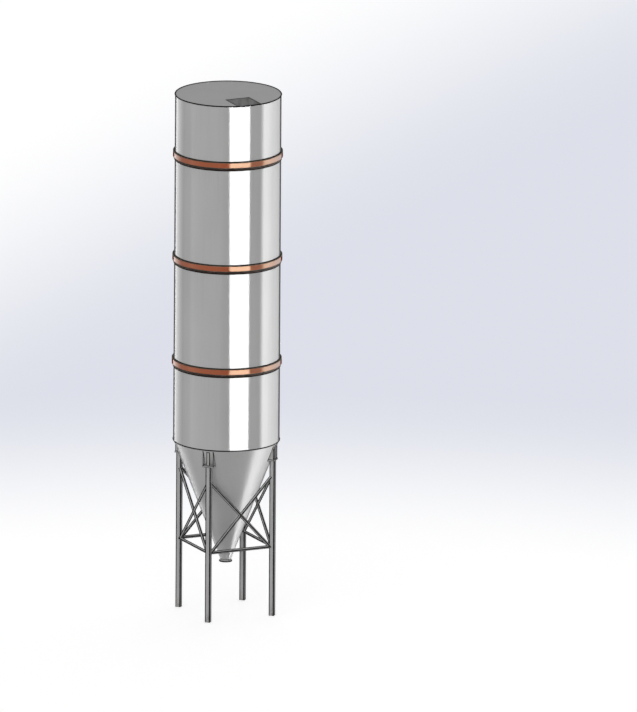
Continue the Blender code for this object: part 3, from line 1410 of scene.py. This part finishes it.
@dataclass
class Welds:
    """The beads of weld and sealant along the joints.

    Attributes:
        recipe: The tree that lays the beads.
        frame_parts: The leg frame, for the names of its nodes.
        sealant: The sealant round the vessel.
        shell_seam: The painted seams of the courses.
        cone_seam: The painted seam of the cone.
        bracket_weld: The welds on the brackets.
        bar_weld: The welds at the bars' ends and round the spout.
        seam_bearings: Where each course's seam is, in degrees from the right towards the back.
        off_hoop: How far out from the shell the middle of a hoop's bead is.
        off_edge: How far from the edge the middle of a hoop's or the roof's bead is.
        sunk: How far inside the shell the middle of the bead at the cone is.
        leg_outside: From how far off the leg's axis the edges of its top are outer ones.
    """

    recipe: Recipe
    frame_parts: LegFrame
    sealant: Bead = Bead(Finish.SEALANT, 0.018, pitch=0.048, depth=0.03, unevenness=0.04)
    shell_seam: Bead = Bead(Finish.SHELL, 0.004, pitch=0.02, depth=0.12, slot=Slot.SHELL)
    cone_seam: Bead = Bead(Finish.HOPPER, 0.004, pitch=0.02, depth=0.12, slot=Slot.SHELL)
    bracket_weld: Bead = Bead(Finish.WELD, 0.011, mirrored=False)
    bar_weld: Bead = Bead(Finish.WELD, 0.0065, mirrored=False)
    seam_bearings: tuple[float, ...] = (62.0, 104.0, 75.0, 118.0)
    off_hoop: float = 0.003
    off_edge: float = 0.002
    sunk: float = 0.001
    leg_outside: float = 0.0735

    def build(self) -> None:
        """Lays every bead."""
        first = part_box("shell_course_1")
        shell = first[1].x
        rings = [("roof_rim", -self.off_edge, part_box("roof_plate")[1].z - self.off_edge),
                 ("hopper_rim", -self.sunk, first[0].z)]
        for node in Hoops.nodes:
            low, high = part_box(node)
            rings += [(node + "_top", self.off_hoop, high.z + self.off_edge),
                      (node + "_foot", self.off_hoop, low.z - self.off_edge)]
        for place, out, level in rings:
            self._ring("sealant_" + place, shell + out, level, self.sealant)
        for number, bearing in enumerate(self.seam_bearings, start=1):
            low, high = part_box(f"shell_course_{number}")
            ends = [(shell, low.z), (shell, high.z)]
            self._seam(f"seam_course_{number}", bearing, ends, self.shell_seam)
        low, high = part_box("hopper_cone")
        ends = [(Vessel.outlet_radius(), low.z), (high.x, high.z)]
        self._seam("seam_hopper", self.seam_bearings[0], ends, self.cone_seam)
        self._ring("weld_spout_ring", *ends[0], self.bar_weld)
        for corner in Corner:
            self._bracket(corner)
        for side in Side:
            self._bar_ends(side)

    def _lay(self, name: str, path: Mesh, bead: Bead) -> None:
        """Lays a bead and shows it.

        Args:
            name: The piece's name.
            path: A mesh of edges, which is removed.
            bead: The kind of bead.
        """
        mesh = self.recipe.bake(name, path, {
            "Bead Radius": bead.radius, "Ripple Pitch": bead.pitch, "Ripple Depth": bead.depth,
            "Unevenness": bead.unevenness, "Material": bead.finish.material(),
        })
        show(name, mesh, bead.slot, mirrored=bead.mirrored)

    def _ring(self, name: str, radius: float, level: float, bead: Bead) -> None:
        """Lays a bead round the vessel."""
        self._lay(name, outline_mesh(name, circle(radius, level)), bead)

    def _seam(self, name: str, bearing: float, ends: Sequence[Point2], bead: Bead) -> None:
        """Lays the seam of a rolled plate.

        Args:
            name: The piece's name.
            bearing: Where it is, in degrees from the right towards the back.
            ends: How far out and how high its two ends are.
            bead: The kind of bead.
        """
        turn = math.radians(bearing)
        path = [(radius * math.cos(turn), radius * math.sin(turn), level) for radius, level in ends]
        self._lay(name, outline_mesh(name, path, closed=False), bead)

    def _bracket(self, corner: Corner) -> None:
        """Lays the beads of one bracket: on the cone, at the ribs' feet and round the leg's top.

        Args:
            corner: The bracket's corner.
        """
        seat_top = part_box(f"bracket_{corner.value}_seat")[1].z
        leg_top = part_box("leg_" + corner.value)[1].z
        paths = bmesh.new()
        for node in self.frame_parts.bracket_nodes(corner):
            bm = clean_copy(node)
            copy_edges(paths, rim_edges(bm, lies_on_cone))
            if "rib" in node:
                copy_edges(paths, rim_edges(
                    bm, lambda f: f.calc_center_median().z < seat_top + NEAR))
            bm.free()
        leg = clean_copy("leg_" + corner.value)
        axis, middle = tube_axis(leg)
        rim = rim_edges(leg, lambda f: f.calc_center_median().z > leg_top - NEAR)
        copy_edges(paths, [
            e for e in rim if off_axis(edge_middle(e), axis, middle) > self.leg_outside])
        leg.free()
        self._lay(f"weld_bracket_{corner.value}", mesh_of("paths", paths), self.bracket_weld)

    def _bar_ends(self, side: Side) -> None:
        """Lays the beads round the ends of one side's bars.

        Args:
            side: The side.
        """
        paths = bmesh.new()
        for node in self.frame_parts.bar_nodes(side):
            bm = clean_copy(node)
            axis, middle = tube_axis(bm)
            rim = rim_edges(bm, lambda f: abs(f.normal.dot(axis)) > ASLANT)
            copy_edges(paths, [
                e for e in rim if any(is_outer_wall(f, axis, middle) for f in e.link_faces)])
            bm.free()
        self._lay(f"weld_{side.value}_bars", mesh_of("paths", paths), self.bar_weld)


def lies_on_cone(face: BMFace) -> bool:
    """Whether a face of a bracket lies along the hopper cone.

    Args:
        face: The face.

    Returns:
        True where it does.
    """
    centre = face.calc_center_median()
    outwards = Vector((centre.x, centre.y, 0.0)).normalized()
    return face.normal.dot(outwards) < -ON_CONE


def is_outer_wall(face: BMFace, axis: Vector, middle: Vector) -> bool:
    """Whether a face is one of a tube's outer walls.

    Args:
        face: The face.
        axis: The tube's direction.
        middle: A point on its axis.

    Returns:
        True for an outer wall.
    """
    arm = face.calc_center_median() - middle
    arm -= axis * arm.dot(axis)
    return abs(face.normal.dot(axis)) < ASLANT and face.normal.dot(arm) > 0.0


def rim_edges(bm: BMesh, chosen: Callable[[BMFace], bool]) -> list[BMEdge]:
    """The edges round a set of faces.

    Args:
        bm: The mesh.
        chosen: Says whether a face belongs to the set.

    Returns:
        The edges between a chosen face and another one.
    """
    return [e for e in bm.edges if sum(chosen(f) for f in e.link_faces) == 1]


def copy_edges(target: BMesh, edges: Iterable[BMEdge]) -> None:
    """Copies edges and their points to another mesh.

    Args:
        target: The mesh that gets them.
        edges: The edges.
    """
    made: dict[BMVert, BMVert] = {}
    for edge in edges:
        for vert in edge.verts:
            if vert not in made:
                made[vert] = target.verts.new(vert.co)
        target.edges.new([made[v] for v in edge.verts])


@dataclass(frozen=True)
class Card:
    """A large upright card round the silo that only glossy surfaces see.

    Attributes:
        name: The card's name.
        start: Where it starts, in degrees to the right of the camera.
        end: Where it ends, in degrees to the right of the camera.
        low: How high its lower edge is.
        high: How high its upper edge is.
        strength: The brightness that a level of 1 stands for; 0 is a black card.
        levels: Stops of its brightness from start to end.
        lean: How many degrees its start moves to the right for each metre up.
    """

    name: str
    start: float
    end: float
    low: float
    high: float
    strength: float
    levels: tuple[tuple[float, float], ...] = ((0.0, 1.0),)
    lean: float = 0.0

    def material(self) -> Material:
        """Makes the card's glow, which follows its own length.

        Returns:
            The material with its node tree.
        """
        made, tree = new_material(self.name)
        made.cycles.emission_sampling = "NONE"
        along = tree.parts(tree.get("ShaderNodeUVMap"))[0]
        stops = [(at, (level,) * 3) for at, level in self.levels]
        glow = tree.get("ShaderNodeValToRGB", {"stops": stops}, {"Fac": along})
        tree.end("ShaderNodeEmission", {"Color": glow, "Strength": self.strength})
        return made

    def mesh(self, camera_bearing: float, distance: float, steps: int = 24) -> Mesh:
        """Makes the card's sheet, bent round the silo's axis.

        Args:
            camera_bearing: The camera's bearing in degrees.
            distance: The card's distance from the axis.
            steps: How many flat pieces it has.

        Returns:
            The mesh.
        """
        bm = bmesh.new()
        layer = bm.loops.layers.uv.new("along")
        rows = [[self._place(step / steps, level, camera_bearing, distance)
                 for level in (self.low, self.high)] for step in range(steps + 1)]
        verts = [[bm.verts.new(place) for place in pair] for pair in rows]
        for step in range(steps):
            (low, high), (low_on, high_on) = verts[step], verts[step + 1]
            face = bm.faces.new((low, low_on, high_on, high))
            for loop in face.loops:
                passed = step if loop.vert in (low, high) else step + 1
                loop[layer].uv = (passed / steps, 0.0)
        mesh = mesh_of(self.name, bm)
        mesh.materials.append(self.material())
        return mesh

    def _place(self, share: float, level: float, camera_bearing: float, distance: float) -> Vector:
        """Finds a point of the card.

        Args:
            share: Its place along the card, from 0 to 1.
            level: Its height.
            camera_bearing: The camera's bearing in degrees.
            distance: The card's distance from the axis.

        Returns:
            The point.
        """
        start = self.start + self.lean * level
        bearing = math.radians(camera_bearing + start + (self.end - start) * share)
        return Vector((math.sin(bearing) * distance, -math.cos(bearing) * distance, level))


RIGHT_LEVELS = ((0.0, 0.24), (0.05, 0.5), (0.13, 1.0), (0.27, 0.92), (0.5, 0.62), (0.75, 0.38),
                (1.0, 0.18))


@dataclass
class Studio:
    """The floor, the light and the camera.

    Attributes:
        azimuth: The camera's direction, in degrees from the front towards the right.
        elevation: The camera's height above the horizon, in degrees.
        roll: How far the silo leans to the right in the picture, in degrees.
        picture: The picture's width and height in pixels.
        scale: Pixels to a metre.
        axis_pixel: The pixel that shows the point on the axis at the aim's height, from (0, 0).
        aim: That height.
        distance: The camera's distance.
        floor_radius: The floor's radius.
        white_ahead: How far in front of the silo the middle of the floor's white part is.
        white_radius: That part's radius.
        white_fade: How far out from there the floor's tone fades.
        glow_towards: Where the floor is white again far off, as a direction in plan.
        glow_from: How far off in that direction this starts and is complete.
        broad_side: From where the soft light is strongest, as a direction in plan.
        inside_size: How wide the light under the roof is.
        inside_power: Its power in watts.
        inside_drop: How far below the roof it hangs.
        card_distance: How far the cards stand from the axis.
        cards: The cards.
    """

    azimuth: float = -24.8
    elevation: float = 13.95
    roll: float = 0.337
    picture: tuple[int, int] = (637, 712)
    scale: float = 35.517
    axis_pixel: Point2 = (226.80, 265.66)
    aim: float = 10.0
    distance: float = 60.0
    floor_radius: float = 220.0
    white_ahead: float = 12.0
    white_radius: float = 19.0
    white_fade: float = 19.5
    glow_towards: Point2 = (-0.639, 0.769)
    glow_from: Point2 = (15.0, 30.5)
    broad_side: Point2 = (-0.7071, -0.7071)
    inside_size: float = 2.2
    inside_power: float = 16.0
    inside_drop: float = 0.08
    card_distance: float = 60.0
    cards: tuple[Card, ...] = (
        Card("card_key", 3.0, 48.4, -35.0, 18.0, 10.0, lean=-0.44),
        Card("card_low", -3.0, 75.5, -95.0, -36.0, 1.0),
        Card("card_gap", 49.0, 75.5, -35.0, 60.0, 1.5),
        Card("card_left_front", -108.0, -3.0, -95.0, 95.0, 1.5, (
            (0.0, 0.63), (0.16, 0.67), (0.25, 0.93), (0.32, 0.87), (0.44, 0.75), (0.6, 0.67),
            (0.87, 0.67), (1.0, 0.47))),
        Card("card_right", 75.0, 151.0, -35.0, 18.0, 6.5, RIGHT_LEVELS),
        Card("card_right_low", 76.0, 151.0, -95.0, -36.0, 8.0, RIGHT_LEVELS),
        Card("card_left", -151.0, -108.0, -95.0, 95.0, 2.6, ((0.0, 1.0), (0.5, 0.7), (1.0, 0.25))),
        Card("card_behind", 162.0, 196.0, 12.0, 80.0, 0.40),
        Card("flag_behind", 152.0, 208.0, -95.0, 12.0, 0.0),
    )

    def build(self) -> None:
        """Builds the floor, the lights and the camera."""
        scene = bpy.context.scene
        scene.view_settings.view_transform = "Standard"
        self._floor()
        self._sky()
        for card in self.cards:
            self._card(card)
        self._inside_light()
        scene.camera = self._camera()

    def _floor(self) -> None:
        """A pale floor that glows by itself, a painted pool of light: white near the silo and cooler
        far off, and it lights nothing.
        """
        bm = bmesh.new()
        bmesh.ops.create_circle(bm, cap_ends=True, segments=ROUND_STEPS, radius=self.floor_radius)
        floor = placed("floor", mesh_of("floor", bm))
        for ray in ("diffuse", "glossy", "shadow"):
            setattr(floor, "visible_" + ray, False)
        material, tree = new_material("pale_floor")
        bearing = math.radians(self.azimuth)
        centre = (math.sin(bearing) * self.white_ahead, -math.cos(bearing) * self.white_ahead, 0.0)
        far = tree.measure("DISTANCE", tree.place, centre)
        off = tree.measure("DOT_PRODUCT", tree.place, (*self.glow_towards, 0.0))
        # Painted light: the floor's own glow is white near the silo and fades to a cooler tone far
        # off.
        cool = tree.between(far, self.white_radius, self.white_radius + self.white_fade)
        cool = cool * (1.0 - tree.between(off, *self.glow_from))
        colour = tree.mix(cool, (0.82, 0.82, 0.82), (0.60, 0.62, 0.70))
        glow = tree.mix(cool, (0.63, 0.63, 0.63), (0.445, 0.455, 0.495))
        tree.end("ShaderNodeBsdfPrincipled", {
            "Base Color": colour, "Roughness": 0.9, "Specular IOR Level": 0.0,
            "Emission Color": glow, "Emission Strength": 1.0,
        })
        floor.data.materials.append(material)

    def _sky(self) -> None:
        """Soft light from above and, most of all, from two opposite sides."""
        world = bpy.data.worlds.new("soft_light")
        bpy.context.scene.world = world
        world.use_nodes = True
        tree = Shading(world.node_tree)
        direction = tree.get("ShaderNodeTexCoord", output="Generated")
        level = tree.parts(direction)[2]
        facing = tree.measure("DOT_PRODUCT", direction, (*self.broad_side, 0.0))
        from_below = [
            (0.0, (0.02, 0.02, 0.02)), (0.5, (0.0, 0.0, 0.0)), (1.0, (0.36, 0.36, 0.36)),
        ]
        above = tree.get("ShaderNodeValToRGB", {"stops": from_below}, {"Fac": level * 0.5 + 0.5})
        light = above + facing * facing * 0.9
        seen = tree.get("ShaderNodeLightPath", output="Is Camera Ray")
        colour = tree.mix(seen, light, (0.75, 0.77, 0.83))
        tree.end("ShaderNodeBackground", {"Color": colour, "Strength": 1.0}, "ShaderNodeOutputWorld")

    def _card(self, card: Card) -> None:
        """Hangs one card.

        Args:
            card: The card.
        """
        made = placed(card.name, card.mesh(self.azimuth, self.card_distance))
        for ray in ("camera", "diffuse", "shadow", "transmission", "volume_scatter"):
            setattr(made, "visible_" + ray, False)

    def _inside_light(self) -> None:
        """Hangs a round soft light under the roof, so that the inside isn't dark."""
        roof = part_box("roof_plate")[0].z
        light = bpy.data.lights.new("inside_light", "AREA")
        light.shape = "DISK"
        light.size = self.inside_size
        light.energy = self.inside_power
        lamp = placed("inside_light", light)
        lamp.location = (0.0, 0.0, roof - self.inside_drop)
        lamp.visible_camera = False
        lamp.visible_glossy = False

    def _camera(self) -> Object:
        """Places the camera of the photograph, which shows no perspective.

        Returns:
            The camera.
        """
        bearing, rise = math.radians(self.azimuth), math.radians(self.elevation)
        back = Vector((math.sin(bearing) * math.cos(rise), -math.cos(bearing) * math.cos(rise),
                       math.sin(rise)))
        level = Vector((math.cos(bearing), math.sin(bearing), 0.0))
        lean = math.radians(self.roll)
        up = back.cross(level)
        right = level * math.cos(lean) + up * math.sin(lean)
        up = up * math.cos(lean) - level * math.sin(lean)
        middle = ((self.picture[0] - 1) / 2, (self.picture[1] - 1) / 2)
        shift_right = (middle[0] - self.axis_pixel[0]) / self.scale
        shift_down = (middle[1] - self.axis_pixel[1]) / self.scale
        target = Vector((0.0, 0.0, self.aim)) + right * shift_right - up * shift_down
        data = bpy.data.cameras.new("camera")
        data.type = "ORTHO"
        data.ortho_scale = max(self.picture) / self.scale
        data.clip_end = 4 * self.floor_radius
        camera = placed("camera", data)
        frame_of_view = Matrix((right, up, back)).transposed().to_4x4()
        camera.matrix_world = Matrix.Translation(target + back * self.distance) @ frame_of_view
        return camera


def main() -> None:
    """Builds the looks of the whole silo."""
    logging.basicConfig(level=logging.INFO, format="%(message)s")
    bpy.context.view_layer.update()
    turning = turned_recipe()
    legs = LegFrame()
    Vessel(turning).build()
    Hoops(turning).build()
    legs.build()
    Welds(bead_recipe(), legs).build()
    Studio().build()


if __name__ == "__main__":
    main()
